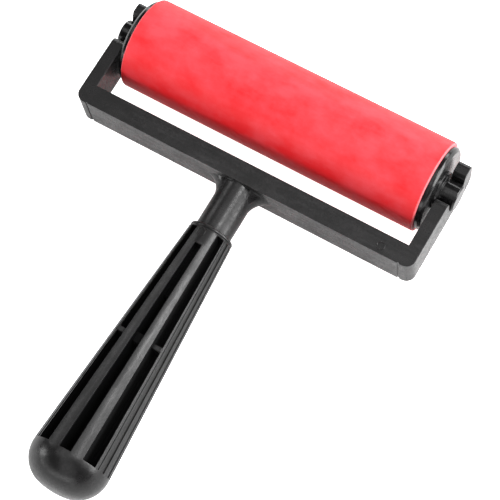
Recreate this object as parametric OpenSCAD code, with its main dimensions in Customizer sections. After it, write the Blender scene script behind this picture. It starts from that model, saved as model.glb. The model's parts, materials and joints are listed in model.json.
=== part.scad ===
// Rubber brayer: a hand roller for inking printing blocks.
// A rubber sleeve on a plastic core turns on two end caps. Their stub axles snap into open
// saddles at the ends of a moulded yoke, and the yoke's tang is pressed into a slotted handle.
// X is the roller's axis, the handle points towards -Y and Z is up. The origin is the centre
// of the bounding box's underside, so the roller rests on the XY plane.

/* [Roller] */
// Length of the rubber sleeve
roller_len = 100; // [60:1:160]
// Outer diameter of the rubber sleeve
roller_dia = 28.8; // [28:0.1:34]
// Wall thickness of the rubber sleeve
rubber_wall = 2.5; // [1.5:0.1:3]
// Wall thickness of the plastic core tube
core_wall = 2.4; // [1.2:0.1:3.6]

/* [End caps] */
// Diameter of the flange that closes the roller's end
flange_dia = 26.6; // [25:0.1:27.4]
// Thickness of the flange, bevel included
flange_thick = 1.9; // [1.4:0.1:2.2]
// Diameter of the thrust boss around the axle
boss_dia = 12; // [10:0.5:18]
// Diameter of the stub axle
axle_dia = 8.4; // [6.4:0.1:8.6]
// How far the axle stands out past the yoke's arm
axle_proud = 0.7; // [0.2:0.1:2]
// How far the hollow spigot reaches into the core
spigot_len = 8; // [4:0.5:20]

/* [Yoke] */
// Gap between the rubber's end and the arm's inner face
arm_gap = 3.05; // [3.05:0.05:5]
// Thickness of each arm along X
arm_thick = 4.1; // [3:0.1:6]
// Height of the bar and the arms
bar_height = 12.8; // [11.6:0.1:15]
// Depth of the bar from front to back
bar_depth = 6.4; // [4:0.1:8]
// Distance from the roller's axis to the back of the bar
bar_reach = 27.9; // [26:0.1:40]
// Radius of the bar's outer corners, seen from above
bar_corner_r = 3; // [1:0.1:3.9]
// Radial clearance between the axle and its saddle
axle_clearance = 0.06; // [0.02:0.01:0.1]

/* [Neck] */
// Diameter of the neck
neck_dia = 11.4; // [9:0.1:12]
// Length of the neck between the bar and the handle
neck_len = 15.9; // [10:0.1:30]
// Radius of the flare between the neck and the bar, seen from above
flare_r = 6.2; // [2:0.1:9]
// Diameter of the tang inside the handle
tang_dia = 5.2; // [4:0.1:6.6]
// Length of the tang inside the handle
tang_len = 22; // [12:1:30]

/* [Handle] */
// Length of the handle from its collar to its tip
handle_len = 87.8; // [80:0.1:110]
// Diameter of the collar
collar_dia = 13.86; // [13.4:0.02:15]
// Growth of the radius per millimetre of length
taper = 0.0677; // [0.04:0.0001:0.075]
// Radius of the shoulder of the bulb end
bulb_shoulder_r = 9.5; // [8.5:0.1:9.8]
// Radius of the rounded tip of the bulb end
bulb_tip_r = 24; // [20:0.5:30]
// Distance from the collar to the far end of the slots
slot_end = 77; // [70:0.5:77.5]
// Distance from the collar to the middle of the cross web
cross_web_at = 39.1; // [34:0.1:50]

/* [Hidden] */
$fn = 96;
eps = 0.01;             // overlap that keeps cuts and unions clean
through = 40;           // longer than anything it has to cut through

roller_r = roller_dia / 2;
core_r = roller_r - rubber_wall;
core_bore_r = core_r - core_wall;
half_len = roller_len / 2;
press = 0.05;           // radial interference of the pressed joints
core_recess = 0.5;      // how far the core stops short of the rubber's ends

flange_bevel = 0.8;     // bevel on the flange's outer edge
boss_height = 0.8;      // how far the boss stands out of the flange
spigot_wall = 1.8;
axle_bevel = 0.4;
axle_r = axle_dia / 2;

arm_inner_x = half_len + arm_gap;
arm_outer_x = arm_inner_x + arm_thick;
bar_half = bar_height / 2;
arm_end_y = -4.7;       // where the arm stops, before the saddle
arm_round = 2;          // radius of the arm's upper end
arm_step = 0.05;        // the rounding lies this much inside the arm, so that no curves only touch
saddle_r = axle_r + axle_clearance;
mouth_half = 4.7;       // half width of the saddle's open mouth
mouth_z = 3.5;          // height above the axis at which the mouth is fully open
lip_angle = 20;         // how far the saddle wraps the axle past its middle
prong_tip_y = 9.4;      // farthest reach of the prong beyond the axis
prong_top_z = 4.9;
prong_round = 1.7;      // radius of the prong's upper far edge
mould_line = 0.6;       // width of the mould line; it is half as deep
prong_foot_r = 5;       // radius under the prong
cradle_r = 7;           // radius of the cradle's belly under the axle

neck_r = neck_dia / 2;
flare_sink = 0.15;      // how far the flare's curve sinks into the bar, to meet its face at an angle
flare_inset = 0.03;     // how far the flare's curve starts inside the neck's side
flare_bar_r = 4.2;      // radius of the round bar that the flare is bent from
tang_r = tang_dia / 2;
tang_bevel = 0.6;
counterbore = 1;        // depth to which the full neck enters the handle

collar_r = collar_dia / 2;
collar_ring = 0.9;      // width of the raised ring at the handle's mouth
ring_groove = 0.5;      // width of the groove behind that ring
ring_groove_depth = 0.3;
socket_wall = 1;        // wall of the tube around the tang
mid_web_half = 0.7;     // half thickness of the web between the upper and lower slots
cross_web_top = 7;      // height of the cross web above the handle's axis
cross_web_thick = 1.4;
centre_web_thick = 3;   // the cross web is thicker between the two ribs
outer_slot_start = 1.4; // distance from the collar
centre_slot_start = 6.5;

// The slots and ribs widen with the handle: their edges are fractions of its radius.
rib_inner = 0.156;
rib_outer = 0.467;
wall_inner = 0.755;

// Shallow grooves run along the flanks. Each is given by its two angles from +Z.
flank_grooves = [[51.5, 56], [62, 69], [79, 88]];
flank_groove_depth = 0.35;

axis_y = (bar_reach + neck_len + handle_len - roller_r) / 2;
collar_y = -bar_reach - neck_len;

// Radius of the handle's cone at distance s from the collar
function cone_r(s) = collar_r + taper * s;

// Moves a part from roller coordinates, with the roller's axis as origin, to the part's frame
module placed() translate([0, axis_y, roller_r]) children();

// Turns a profile of [radius, x] about the X axis
module about_x() rotate([90, 0, 90]) rotate_extrude() children();

// Turns a profile of [radius, s] about the handle's axis, with s running from the collar to -Y
module about_handle() translate([0, collar_y, 0]) rotate([90, 0, 0]) rotate_extrude() children();

// ---- yoke ----

// Outline of the bar and the arms from above, with round corners at the back
module yoke_plan() {
    difference() {
        union() {
            translate([-arm_outer_x, -bar_reach + bar_corner_r])
                square([2 * arm_outer_x, bar_reach - bar_corner_r + arm_end_y - arm_round]);
            translate([-arm_outer_x + bar_corner_r, -bar_reach])
                square([2 * (arm_outer_x - bar_corner_r), bar_corner_r + eps]);
            for (side = [-1, 1])
                translate([side * (arm_outer_x - bar_corner_r), -bar_reach + bar_corner_r])
                    circle(r = bar_corner_r);
        }
        translate([-arm_inner_x, -bar_reach + bar_depth])
            square([2 * arm_inner_x, bar_reach]);
    }
}

// One wall of the saddle's mouth in [y, z], from inside the saddle's circle to above the arm
mouth_lip = saddle_r * [cos(lip_angle), sin(lip_angle)];
mouth_full = [mouth_half, mouth_z];
mouth_wall = [mouth_lip - 0.4 * (mouth_full - mouth_lip), mouth_full, [mouth_half, bar_height]];

function reversed(list) = [for (i = [len(list) - 1:-1:0]) list[i]];

// Side view of an arm's end in [y, z]: the cradle under the axle and the prong beyond it
module arm_end_profile() {
    difference() {
        union() {
            translate([arm_end_y - 2 * arm_round, -bar_half])
                square([arm_round + 6 * arm_step, bar_height]);
            translate([arm_end_y - arm_round - arm_step, bar_half - arm_round - arm_step])
                circle(r = arm_round);
            translate([arm_end_y - arm_round, -bar_half])
                square([arm_round, bar_height - arm_round]);
            translate([arm_end_y - eps, -bar_half])
                square([prong_tip_y - prong_foot_r - arm_end_y + eps, bar_half]);
            translate([prong_tip_y - prong_foot_r, prong_foot_r - bar_half])
                circle(r = prong_foot_r);
            intersection() {
                circle(r = cradle_r);
                translate([-cradle_r, -cradle_r])
                    square([2 * cradle_r, cradle_r]);
            }
            translate([prong_tip_y - prong_round, prong_top_z - prong_round])
                circle(r = prong_round);
            polygon([
                [0, prong_foot_r - bar_half], [prong_tip_y, prong_foot_r - bar_half],
                [prong_tip_y, prong_top_z - prong_round], [prong_tip_y - prong_round, prong_top_z],
                [mouth_half + 0.8, prong_top_z], [mouth_half, mouth_z], [0, mouth_z],
            ]);
        }
        circle(r = saddle_r);
        polygon([
            for (side = [-1, 1]) for (p = side < 0 ? mouth_wall : reversed(mouth_wall))
                [side * p[0], p[1]]
        ]);
    }
}

// Flare of the neck: two quarter turns of round bar, one to each side, whose inner curves
// lead from the neck's sides to the bar's face. They are lower than the neck and end just
// inside the bar.
module flare() {
    turn_r = flare_r + flare_bar_r;
    intersection() {
        translate([-2 * bar_reach, -2 * bar_reach, -bar_half])
            cube([4 * bar_reach, bar_reach + 1, bar_height]);
        for (side = [0, 1])
            mirror([side, 0, 0])
                translate([neck_r + flare_r - flare_inset, -bar_reach - flare_r + flare_sink, 0])
                    rotate([0, 0, 90]) rotate_extrude(angle = 90)
                        translate([turn_r, 0]) circle(r = flare_bar_r);
    }
}

// Neck and tang as one turned shape
module neck() {
    neck_end = bar_reach + neck_len + counterbore;
    tang_end = bar_reach + neck_len + tang_len;
    rotate([90, 0, 0]) rotate_extrude() polygon([
        [0, bar_reach - 1], [neck_r, bar_reach - 1], [neck_r, neck_end], [tang_r, neck_end],
        [tang_r, tang_end - tang_bevel], [tang_r - tang_bevel, tang_end], [0, tang_end],
    ]);
}

// A thin mould line down the bar's back face beside each corner
module mould_lines() {
    line_x = arm_outer_x - bar_corner_r - 2 * mould_line;
    for (side = [-1, 1])
        translate([side * line_x - mould_line / 2, -bar_reach - 1 + mould_line / 2, -bar_half - 1])
            cube([mould_line, 1, bar_height + 2]);
}

module yoke() placed() color([0.12, 0.12, 0.125]) difference() {
    union() {
        translate([0, 0, -bar_half])
            linear_extrude(bar_height) yoke_plan();
        for (x = [-arm_outer_x, arm_inner_x])
            translate([x, 0, 0]) rotate([90, 0, 90])
                linear_extrude(arm_thick) arm_end_profile();
        neck();
        flare();
    }
    mould_lines();
}

// ---- handle ----

// The bulb's shoulder is an arc that touches the cone. The tip is a larger arc, centred on
// the axis, that touches the shoulder. These are the centres of the two arcs.
tip_s = handle_len - bulb_tip_r;
taper_norm = sqrt(1 + taper * taper);
offset_r = collar_r - bulb_shoulder_r * taper_norm;
centre_gap = bulb_tip_r - bulb_shoulder_r;
lin = tip_s - offset_r * taper;
quad = taper_norm * taper_norm;
rest = offset_r * offset_r + tip_s * tip_s - centre_gap * centre_gap;
shoulder_s = (lin + sqrt(lin * lin - quad * rest)) / quad;
shoulder_x = offset_r + taper * shoulder_s;

// Half of the handle's lengthwise section, as [radius, s]
module handle_profile() {
    shoulder = [shoulder_x, shoulder_s];
    touch = shoulder + bulb_shoulder_r / taper_norm * [1, -taper];
    reach = 2 * bulb_tip_r / centre_gap;
    difference() {
        union() {
            polygon([[0, 0], [collar_r - 0.3, 0], [collar_r, 0.3], touch, shoulder, [0, shoulder_s]]);
            intersection() {
                translate(shoulder) circle(r = bulb_shoulder_r);
                translate([0, -through]) square([through, handle_len + 2 * through]);
            }
            intersection() {
                translate([0, tip_s]) circle(r = bulb_tip_r);
                polygon([[0, tip_s], [shoulder_x * reach, tip_s + (shoulder_s - tip_s) * reach],
                    [0, tip_s + (shoulder_s - tip_s) * reach]]);
            }
        }
        translate([collar_r - ring_groove_depth, collar_ring])
            square([1, ring_groove]);
    }
}

// A slot seen from above, between two fractions of the handle's radius
module slot_plan(inner, outer, start) {
    polygon([
        [inner * cone_r(start), collar_y - start], [outer * cone_r(start), collar_y - start],
        [outer * cone_r(slot_end), collar_y - slot_end], [inner * cone_r(slot_end), collar_y - slot_end],
    ]);
}

module slots() {
    for (up = [0, 1]) mirror([0, 0, up]) translate([0, 0, mid_web_half]) {
        linear_extrude(through) slot_plan(-rib_inner, rib_inner, centre_slot_start);
        for (side = [0, 1]) mirror([side, 0, 0])
            linear_extrude(through) slot_plan(rib_outer, wall_inner, outer_slot_start);
    }
}

// Webs that tie the ribs and the side walls together half way along
module cross_webs() {
    web_y = collar_y - cross_web_at;
    web_half_x = wall_inner * cone_r(cross_web_at) + eps;
    rib_half_x = rib_inner * cone_r(cross_web_at) + eps;
    translate([-web_half_x, web_y - cross_web_thick / 2, -cross_web_top])
        cube([2 * web_half_x, cross_web_thick, 2 * cross_web_top]);
    translate([-rib_half_x, web_y - centre_web_thick / 2, -cross_web_top])
        cube([2 * rib_half_x, centre_web_thick, 2 * cross_web_top]);
}

module flank_groove(from, to) {
    length = slot_end - outer_slot_start;
    translate([0, collar_y, 0]) rotate([90, 0, 0])
        for (quarter = [0, 1], side = [0, 1]) mirror([side, 0, 0]) mirror([0, quarter, 0])
            rotate([0, 0, 90 - to]) rotate_extrude(angle = to - from) polygon([
                [cone_r(outer_slot_start) - flank_groove_depth, outer_slot_start],
                [cone_r(outer_slot_start) + 1, outer_slot_start],
                [cone_r(slot_end) + 1, slot_end],
                [cone_r(slot_end) - flank_groove_depth, slot_end],
            ]);
}

module handle() placed() color([0.09, 0.09, 0.095]) difference() {
    union() {
        difference() {
            about_handle() handle_profile();
            slots();
            for (g = flank_grooves) flank_groove(g[0], g[1]);
        }
        cross_webs();
        about_handle() square([tang_r + socket_wall, tang_len + 2 * socket_wall]);
    }
    about_handle() union() {
        translate([0, -1]) square([neck_r, 1 + counterbore]);
        square([tang_r - press, tang_len]);
    }
}

// ---- roller ----

module rubber_sleeve() placed() color([0.86, 0.10, 0.12]) about_x()
    translate([core_r - press, -half_len])
        square([rubber_wall + press, roller_len]);

module roller_core() placed() color([0.75, 0.74, 0.72]) about_x()
    translate([core_bore_r, core_recess - half_len])
        square([core_wall, roller_len - 2 * core_recess]);

// Profile of an end cap as [radius, x], with x measured from the rubber's end
module end_cap_profile() {
    flange_r = flange_dia / 2;
    boss_top = flange_thick + boss_height;
    axle_end = arm_gap + arm_thick + axle_proud;
    spigot_r = core_bore_r + press;
    polygon([
        [0, 0], [spigot_r - spigot_wall, 0], [spigot_r - spigot_wall, -spigot_len],
        [spigot_r, -spigot_len], [spigot_r, 0], [flange_r, 0],
        [flange_r, flange_thick - flange_bevel], [flange_r - flange_bevel, flange_thick],
        [boss_dia / 2, flange_thick], [boss_dia / 2, boss_top], [axle_r, boss_top],
        [axle_r, axle_end - axle_bevel], [axle_r - axle_bevel, axle_end], [0, axle_end],
    ]);
}

module end_cap() translate([half_len, 0, 0]) about_x() end_cap_profile();

module end_cap_right() placed() color([0.13, 0.13, 0.135]) end_cap();

module end_cap_left() placed() color([0.13, 0.13, 0.135]) mirror([1, 0, 0]) end_cap();

yoke();
handle();
rubber_sleeve();
roller_core();
end_cap_left();
end_cap_right();
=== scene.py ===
"""Rubber brayer: looks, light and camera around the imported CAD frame. All lengths are in metres."""
import json
import math

import bmesh
import bpy
from mathutils import Matrix, Vector


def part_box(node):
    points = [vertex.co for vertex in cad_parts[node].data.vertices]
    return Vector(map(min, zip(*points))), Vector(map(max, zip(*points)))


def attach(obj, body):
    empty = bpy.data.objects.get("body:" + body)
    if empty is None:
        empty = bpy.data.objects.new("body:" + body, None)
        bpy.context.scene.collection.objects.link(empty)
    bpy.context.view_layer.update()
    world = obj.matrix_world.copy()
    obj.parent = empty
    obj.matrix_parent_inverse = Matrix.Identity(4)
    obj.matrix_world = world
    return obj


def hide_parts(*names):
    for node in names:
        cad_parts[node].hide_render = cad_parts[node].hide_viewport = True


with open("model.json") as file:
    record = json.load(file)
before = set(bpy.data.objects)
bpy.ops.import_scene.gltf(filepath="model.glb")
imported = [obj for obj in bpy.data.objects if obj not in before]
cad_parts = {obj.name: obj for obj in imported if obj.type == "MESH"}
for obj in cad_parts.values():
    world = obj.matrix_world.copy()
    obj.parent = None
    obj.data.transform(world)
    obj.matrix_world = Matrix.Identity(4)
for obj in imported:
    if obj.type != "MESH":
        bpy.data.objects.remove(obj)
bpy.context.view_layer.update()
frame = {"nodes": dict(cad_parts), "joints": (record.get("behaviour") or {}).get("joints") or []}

MM = 0.001
AXIS = Vector(frame["joints"][0]["pos_m"])     # centre of the roller's axle
_, SLEEVE_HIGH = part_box("rubber_sleeve")
_, HANDLE_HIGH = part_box("handle")

# The handle's cone, measured from the mouth of its collar
COLLAR_RADIUS = 6.9 * MM
HANDLE_TAPER = 0.0677        # growth of the radius per metre of length
SLOT_END = 77.2 * MM         # just past the far end of the slots
BAR_HALF = 6.4 * MM          # half the height of the yoke's bar
BUMP_DEPTH = 0.02 * MM       # relief of every material's surface


# ---- node material helpers ----

class Shader:
    """A short way to build a node tree. Noise scales are per millimetre."""

    def __init__(self, name):
        self.material = bpy.data.materials.new(name)
        self.material.use_nodes = True
        self.tree = self.material.node_tree
        self.tree.nodes.clear()

    def node(self, kind, settings=None, **inputs):
        """Makes one node. An input is given as Base__Color for "Base Color", or _0 for the first."""
        made = self.tree.nodes.new("ShaderNode" + kind)
        for key, value in (settings or {}).items():
            setattr(made, key, value)
        for key, value in inputs.items():
            if key[0] == "_":
                socket = made.inputs[int(key[1:])]
            else:
                socket = made.inputs[key.replace("__", " ")]
            if isinstance(value, bpy.types.NodeSocket):
                self.tree.links.new(value, socket)
            else:
                socket.default_value = value
        return made

    def position(self):
        """Place on the object in metres, as separate x, y and z."""
        coordinates = self.node("TexCoord")
        return self.node("SeparateXYZ", Vector=coordinates.outputs["Object"]).outputs

    def place(self, stretch=(1, 1, 1)):
        """Place on the object in millimetres, divided by stretch along each axis."""
        coordinates = self.node("TexCoord")
        mapping = self.node("Mapping", Vector=coordinates.outputs["Object"],
                            Scale=[1 / (MM * s) for s in stretch])
        return mapping.outputs["Vector"]

    def noise(self, at, scale, detail=4.0, roughness=0.55):
        made = self.node("TexNoise", Vector=at, Scale=scale, Detail=detail, Roughness=roughness)
        return made.outputs["Fac"]

    def remap(self, value, source, target):
        """Maps the source pair onto the target pair, and stays at the target's ends outside it."""
        made = self.node("MapRange", Value=value, From__Min=source[0], From__Max=source[1],
                         To__Min=target[0], To__Max=target[1])
        return made.outputs["Result"]

    def math(self, operation, a, b=0.0):
        return self.node("Math", {"operation": operation}, _0=a, _1=b).outputs[0]

    def blend(self, a, b, share_b=0.5):
        """Weighted mean of two values."""
        return self.math("ADD", self.math("MULTIPLY", a, 1 - share_b), self.math("MULTIPLY", b, share_b))

    def mix(self, share, a, b):
        """Mix of two colours, from a at share 0 to b at share 1."""
        made = self.node("Mix", {"data_type": "RGBA"}, Factor=share, _6=a, _7=b)
        return made.outputs[2]

    def finish(self, bump=None, **inputs):
        if bump is not None:
            relief = self.node("Bump", Height=bump, Distance=BUMP_DEPTH, Strength=1.0)
            inputs["Normal"] = relief.outputs["Normal"]
        surface = self.node("BsdfPrincipled", **inputs)
        self.node("OutputMaterial", Surface=surface.outputs[0])
        return self.material


# ---- materials ----

STREAK_STRETCH = 9.0                 # length of a flow streak over its width
PALE_GAIN = 4.5                      # how much paler the speckle is than the plastic around it
PLASTIC_SPECULAR = 0.5
# Near-black colour of the painted shade deep in the handle's slots
SLOT_PAINTED_SHADE = (0.0010, 0.0010, 0.0011, 1)
SLOT_SPECULAR = 0.22
SLOT_ROUGHNESS = 0.8
SLOT_FADE = (0.5 * MM, 1.2 * MM)     # depths at which the painted shade on a slot's wall starts and becomes full


def black_plastic(name, colour, roughness, streak_axis, haze, spread, slots=False):
    """Black moulded plastic: satin grain, cloudy gloss and flow streaks along one axis."""
    shader = Shader(name)
    stretch = [1.0, 1.0, 1.0]
    stretch[streak_axis] = STREAK_STRETCH
    streaks = shader.noise(shader.place(stretch), scale=0.8, detail=5.0)
    clouds = shader.noise(shader.place(), scale=0.22, detail=5.0, roughness=0.65)
    grain = shader.noise(shader.place(), scale=2.2, detail=4.0, roughness=0.7)
    mixed = shader.blend(streaks, clouds)
    speckle = shader.blend(mixed, grain)
    pale = [c * PALE_GAIN for c in colour]
    base = shader.mix(shader.remap(speckle, (0.46, 0.58), (0.0, 1.0)), (*colour, 1), (*pale, 1))
    rough = shader.remap(speckle, (0.42, 0.58), (roughness + spread, roughness - spread))
    specular = PLASTIC_SPECULAR
    # Painted shade in the handle's slots: the colour goes to near black and the gloss weakens with depth.
    if slots:
        depth = slot_depth(shader)
        specular = shader.remap(depth, (0.0, 1.0), (PLASTIC_SPECULAR, SLOT_SPECULAR))
        base = shader.mix(depth, base, SLOT_PAINTED_SHADE)
        rough = shader.math("MAXIMUM", rough, shader.math("MULTIPLY", depth, SLOT_ROUGHNESS))
    height = shader.math("ADD", shader.math("MULTIPLY", grain, 0.5), mixed)
    return shader.finish(bump=height, Base__Color=base, Roughness=rough, IOR=1.42,
                         Specular__IOR__Level=specular, Sheen__Weight=haze, Sheen__Roughness=0.2)


def slot_depth(shader):
    """0 on the handle's outer surface and 1 inside its slots, where shade is painted in and the surface
    is made matt.
    """
    x, y, z = shader.position()
    up = shader.math("SUBTRACT", z, AXIS.z)
    x_squared = shader.math("MULTIPLY", x, x)
    up_squared = shader.math("MULTIPLY", up, up)
    radius = shader.math("SQRT", shader.math("ADD", x_squared, up_squared))
    along = shader.math("SUBTRACT", HANDLE_HIGH[1], y)
    outer = shader.math("ADD", shader.math("MULTIPLY", along, HANDLE_TAPER), COLLAR_RADIUS)
    deep = shader.remap(shader.math("SUBTRACT", outer, radius), SLOT_FADE, (0.0, 1.0))
    return shader.math("MULTIPLY", deep, shader.math("LESS_THAN", along, SLOT_END))


RUBBER_RED = (0.84, 0.007, 0.013, 1)
RUBBER_CHALK_AND_SHEEN = (0.88, 0.062, 0.080, 1)
# Pale pink of the painted highlight on the rubber's end rims
RUBBER_RIM_HIGHLIGHT = (0.92, 0.30, 0.33, 1)
RIM_SHARE = 0.6
RIM_FADE = (0.35 * MM, 0.75 * MM)    # distances from the rubber's end between which its painted rim highlight fades
RIM_RAGGED = 0.6 * MM                # how much the grain moves the rim's edge
TOP_SHEEN_START = AXIS.z + 3 * MM         # height above which a painted sheen, mixed in with the chalk, grows towards the top; below it the red is painted deeper


def red_rubber():
    """Cast red rubber: a strong red with soft chalky clouds, a painted sheen towards the top, a fine
    grain and pale rims painted as an edge highlight.
    """
    shader = Shader("red_rubber")
    mottle = shader.noise(shader.place((1.3, 1.0, 1.0)), scale=0.14, detail=6.0, roughness=0.6)
    smear = shader.noise(shader.place((4.0, 1.0, 1.0)), scale=0.45, detail=4.0)
    grain = shader.noise(shader.place(), scale=2.5, detail=4.0)
    mixed = shader.blend(mottle, smear, share_b=0.2)
    along, _, up = shader.position()
    # Painted sheen: more chalk colour towards the top and less low down, following how light falls on the
    # sleeve.
    painted_top_sheen = shader.remap(up, (TOP_SHEEN_START, SLEEVE_HIGH[2]), (-0.13, 0.08))
    chalk_and_sheen = shader.remap(shader.math("ADD", mixed, painted_top_sheen), (0.36, 0.68), (0.0, 1.0))
    body = shader.mix(chalk_and_sheen, RUBBER_RED, RUBBER_CHALK_AND_SHEEN)
    # Painted highlight: a pale pink rim along each end of the rubber, with its edge made ragged by the
    # grain.
    inward = shader.math("SUBTRACT", SLEEVE_HIGH[0], shader.math("ABSOLUTE", along))
    ragged = shader.math("ADD", inward, shader.math("MULTIPLY", grain, RIM_RAGGED))
    base = shader.mix(shader.remap(ragged, RIM_FADE, (RIM_SHARE, 0.0)), body, RUBBER_RIM_HIGHLIGHT)
    rough = shader.remap(mixed, (0.35, 0.65), (0.50, 0.60))
    height = shader.math("ADD", shader.math("MULTIPLY", grain, 0.3), mixed)
    return shader.finish(bump=height, Base__Color=base, Roughness=rough, IOR=1.41)


TUBE_DARK = (0.52, 0.51, 0.48, 1)
TUBE_PALE = (0.66, 0.65, 0.62, 1)


def tube_plastic():
    """Plain grey-white plastic of the hidden core."""
    shader = Shader("core_plastic")
    cloud = shader.noise(shader.place(), scale=0.4)
    return shader.finish(bump=cloud, Base__Color=shader.mix(cloud, TUBE_DARK, TUBE_PALE),
                         Roughness=shader.remap(cloud, (0.3, 0.7), (0.4, 0.6)))


# ---- shapes ----

WELD_DISTANCE = 0.002 * MM
FLAT_ANGLE = math.radians(0.5)       # faces closer to flat than this are joined into one
SHARP_ANGLE = math.radians(28)       # edges sharper than this are rounded off
EDGE_SEGMENTS = 3


def softened(node, name, width, body, material):
    """A copy of a CAD node with its sharp edges rounded off, which replaces it."""
    work = bmesh.new()
    work.from_mesh(frame["nodes"][node].data)
    bmesh.ops.remove_doubles(work, verts=work.verts, dist=WELD_DISTANCE)
    bmesh.ops.dissolve_limit(work, angle_limit=FLAT_ANGLE, verts=work.verts, edges=work.edges)
    work.verts.index_update()
    mesh = bpy.data.meshes.new(name)
    mesh.from_pydata([v.co for v in work.verts], [], [[v.index for v in f.verts] for f in work.faces])
    work.free()
    mesh.shade_smooth()
    made = bpy.data.objects.new(name, mesh)
    bpy.context.scene.collection.objects.link(made)
    bevel = made.modifiers.new("edges", "BEVEL")
    bevel.width = width
    bevel.segments = EDGE_SEGMENTS
    bevel.limit_method = "ANGLE"
    bevel.angle_limit = SHARP_ANGLE
    bevel.use_clamp_overlap = False
    made.modifiers.new("flat_faces", "WEIGHTED_NORMAL")
    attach(made, body)
    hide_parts(node)
    mesh.materials.append(material)


yoke_look = black_plastic("yoke_plastic", (0.0030, 0.0028, 0.0029), roughness=0.34, streak_axis=0,
                          haze=0.30, spread=0.11)
handle_look = black_plastic("handle_plastic", (0.0028, 0.0027, 0.0028), roughness=0.32, streak_axis=1,
                            haze=0.04, spread=0.06, slots=True)
cap_look = black_plastic("cap_plastic", (0.0030, 0.0029, 0.0030), roughness=0.20, streak_axis=0,
                         haze=0.02, spread=0.06)

softened("yoke", "yoke_body", 0.14 * MM, "frame", yoke_look)
softened("handle", "handle_body", 0.13 * MM, "frame", handle_look)
softened("rubber_sleeve", "rubber", 0.5 * MM, "roller", red_rubber())
softened("end_cap_left", "cap_left", 0.15 * MM, "roller", cap_look)
softened("end_cap_right", "cap_right", 0.15 * MM, "roller", cap_look)
core = frame["nodes"]["roller_core"]
core.data.materials.clear()
core.data.materials.append(tube_plastic())

RING_RADIUS = 1.15 * MM
RING_BEAD = 0.16 * MM                # radius of the ring's own round section
AROUND = 48                          # points around the ring
ACROSS = 8                           # points around its section


def moulded_ring(name, x, y, surface, body, material):
    """The faint raised circle that an ejector pin leaves. surface(x, y) is the height it lies on."""
    points = []
    faces = []
    for i in range(AROUND):
        turn = math.tau * i / AROUND
        here = i * ACROSS
        ahead = (i + 1) % AROUND * ACROSS
        for j in range(ACROSS):
            tilt = math.tau * j / ACROSS
            reach = RING_RADIUS + RING_BEAD * math.cos(tilt)
            at_x = x + reach * math.cos(turn)
            at_y = y + reach * math.sin(turn)
            points.append((at_x, at_y, surface(at_x, at_y) + RING_BEAD * math.sin(tilt)))
            up = (j + 1) % ACROSS
            faces.append((here + j, ahead + j, ahead + up, here + up))
    mesh = bpy.data.meshes.new(name)
    mesh.from_pydata(points, [], faces)
    mesh.shade_smooth()
    made = bpy.data.objects.new(name, mesh)
    bpy.context.scene.collection.objects.link(made)
    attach(made, body)
    mesh.materials.append(material)


def bar_top(x, y):
    return AXIS.z + BAR_HALF


def collar_top(x, y):
    radius = COLLAR_RADIUS + (HANDLE_HIGH[1] - y) * HANDLE_TAPER
    return AXIS.z + math.sqrt(radius * radius - x * x)


moulded_ring("bar_pin_mark", 46.2 * MM, 32.9 * MM, bar_top, "frame", yoke_look)
moulded_ring("collar_pin_mark", -1.2 * MM, 12.0 * MM, collar_top, "frame", handle_look)


# ---- stage, light and camera ----

FLOOR_HALF = 3.0                     # half the side of each floor plane
FLOOR_DIM = (0.86, 0.86, 0.86, 1)
FLOOR_WHITE = (0.88, 0.88, 0.88, 1)
LIGHT_DISTANCE = 1.0
LIT_POINT = Vector((0, 0, AXIS.z))
BACKDROP_STRENGTH = 1.2


def floor_plane(name, height, glow, seen):
    """One of the two planes of the pale table. The camera sees the bare white one. The other
    is seen only by the object: it is reflected in it and throws light back at it."""
    size = FLOOR_HALF
    mesh = bpy.data.meshes.new(name)
    corners = [(-size, -size, height), (size, -size, height), (size, size, height), (-size, size, height)]
    mesh.from_pydata(corners, [], [(0, 1, 2, 3)])
    made = bpy.data.objects.new(name, mesh)
    bpy.context.scene.collection.objects.link(made)
    shader = Shader(name)
    white = shader.mix(shader.noise(shader.place(), scale=0.02), FLOOR_DIM, FLOOR_WHITE)
    mesh.materials.append(shader.finish(Base__Color=white, Roughness=0.6,
                                        Emission__Color=(1, 1, 1, 1), Emission__Strength=glow))
    made.visible_camera = seen
    made.visible_diffuse = not seen
    made.visible_glossy = not seen
    made.visible_shadow = not seen


def softbox(name, direction, width, height, radiance):
    """A rectangular soft box that faces the object from the given direction."""
    data = bpy.data.lights.new(name, "AREA")
    data.shape = "RECTANGLE"
    data.size = width
    data.size_y = height
    data.energy = math.pi * width * height * radiance
    made = bpy.data.objects.new(name, data)
    toward = Vector(direction).normalized()
    made.location = LIT_POINT + toward * LIGHT_DISTANCE
    made.rotation_euler = (-toward).to_track_quat("-Z", "Y").to_euler()
    bpy.context.scene.collection.objects.link(made)


floor_plane("table_seen", -0.05 * MM, 1.2, True)
floor_plane("table_lit", -0.10 * MM, 0.35, False)

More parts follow.
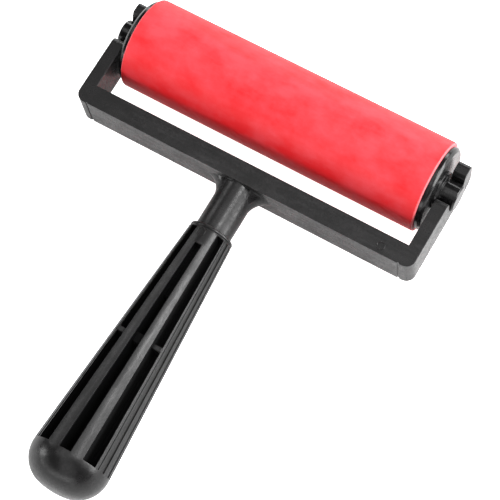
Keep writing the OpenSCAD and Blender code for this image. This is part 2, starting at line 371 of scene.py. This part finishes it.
softbox("overhead", (-0.12, 0.05, 0.99), 0.75, 0.75, 1.6)
softbox("strip", (0.43, 0.36, 0.83), 0.23, 0.30, 22.5)
softbox("left", (-0.78, 0.30, 0.55), 0.40, 0.40, 2.6)
softbox("low_left", (-0.88, -0.36, 0.32), 0.30, 0.30, 8.5)
softbox("front", (0.05, -0.96, 0.25), 1.20, 0.28, 3.6)
softbox("front_high", (0.25, -0.60, 0.76), 0.70, 0.70, 1.3)
softbox("front_left", (-0.68, -0.69, 0.24), 0.40, 0.26, 3.0)
softbox("right", (0.80, 0.30, 0.52), 0.40, 0.40, 6.0)
softbox("low_right", (0.93, 0.30, 0.17), 0.60, 0.28, 11.0)
softbox("low_back_right", (0.66, 0.70, 0.27), 0.50, 0.30, 12.0)
softbox("low_back", (-0.25, 0.93, 0.27), 0.40, 0.25, 8.0)

# The world is a white backdrop. It gives no light of its own.
world = bpy.data.worlds.new("studio")
world.use_nodes = True
background = world.node_tree.nodes["Background"]
background.inputs["Color"].default_value = (1, 1, 1, 1)
background.inputs["Strength"].default_value = BACKDROP_STRENGTH
world.cycles_visibility.diffuse = False
world.cycles_visibility.glossy = False
bpy.context.scene.world = world

CAMERA_PLACE = Vector((134.21, -115.32, 486.66)) * MM
CAMERA_AIM = Vector((12.3, 15.7, 14.4)) * MM
CAMERA_ROLL = math.radians(-13.33)
FOCAL_LENGTH = 124.97                # in millimetres, as Blender wants it
SENSOR_WIDTH = 36.0                  # in millimetres too
NEAREST = 0.01
FARTHEST = 20.0


def camera():
    """The photograph's viewing angle: from the place towards the aim, rolled about that line."""
    data = bpy.data.cameras.new("camera")
    data.lens = FOCAL_LENGTH
    data.sensor_width = SENSOR_WIDTH
    data.clip_start = NEAREST
    data.clip_end = FARTHEST
    made = bpy.data.objects.new("camera", data)
    forward = (CAMERA_AIM - CAMERA_PLACE).normalized()
    right = forward.cross(Vector((0, 0, 1))).normalized()
    up = right.cross(forward)
    turned_right = right * math.cos(CAMERA_ROLL) + up * math.sin(CAMERA_ROLL)
    turned_up = up * math.cos(CAMERA_ROLL) - right * math.sin(CAMERA_ROLL)
    made.matrix_world = Matrix((turned_right, turned_up, -forward)).transposed().to_4x4()
    made.matrix_world.translation = CAMERA_PLACE
    bpy.context.scene.collection.objects.link(made)
    bpy.context.scene.camera = made


camera()
bpy.context.scene.view_settings.view_transform = "Standard"
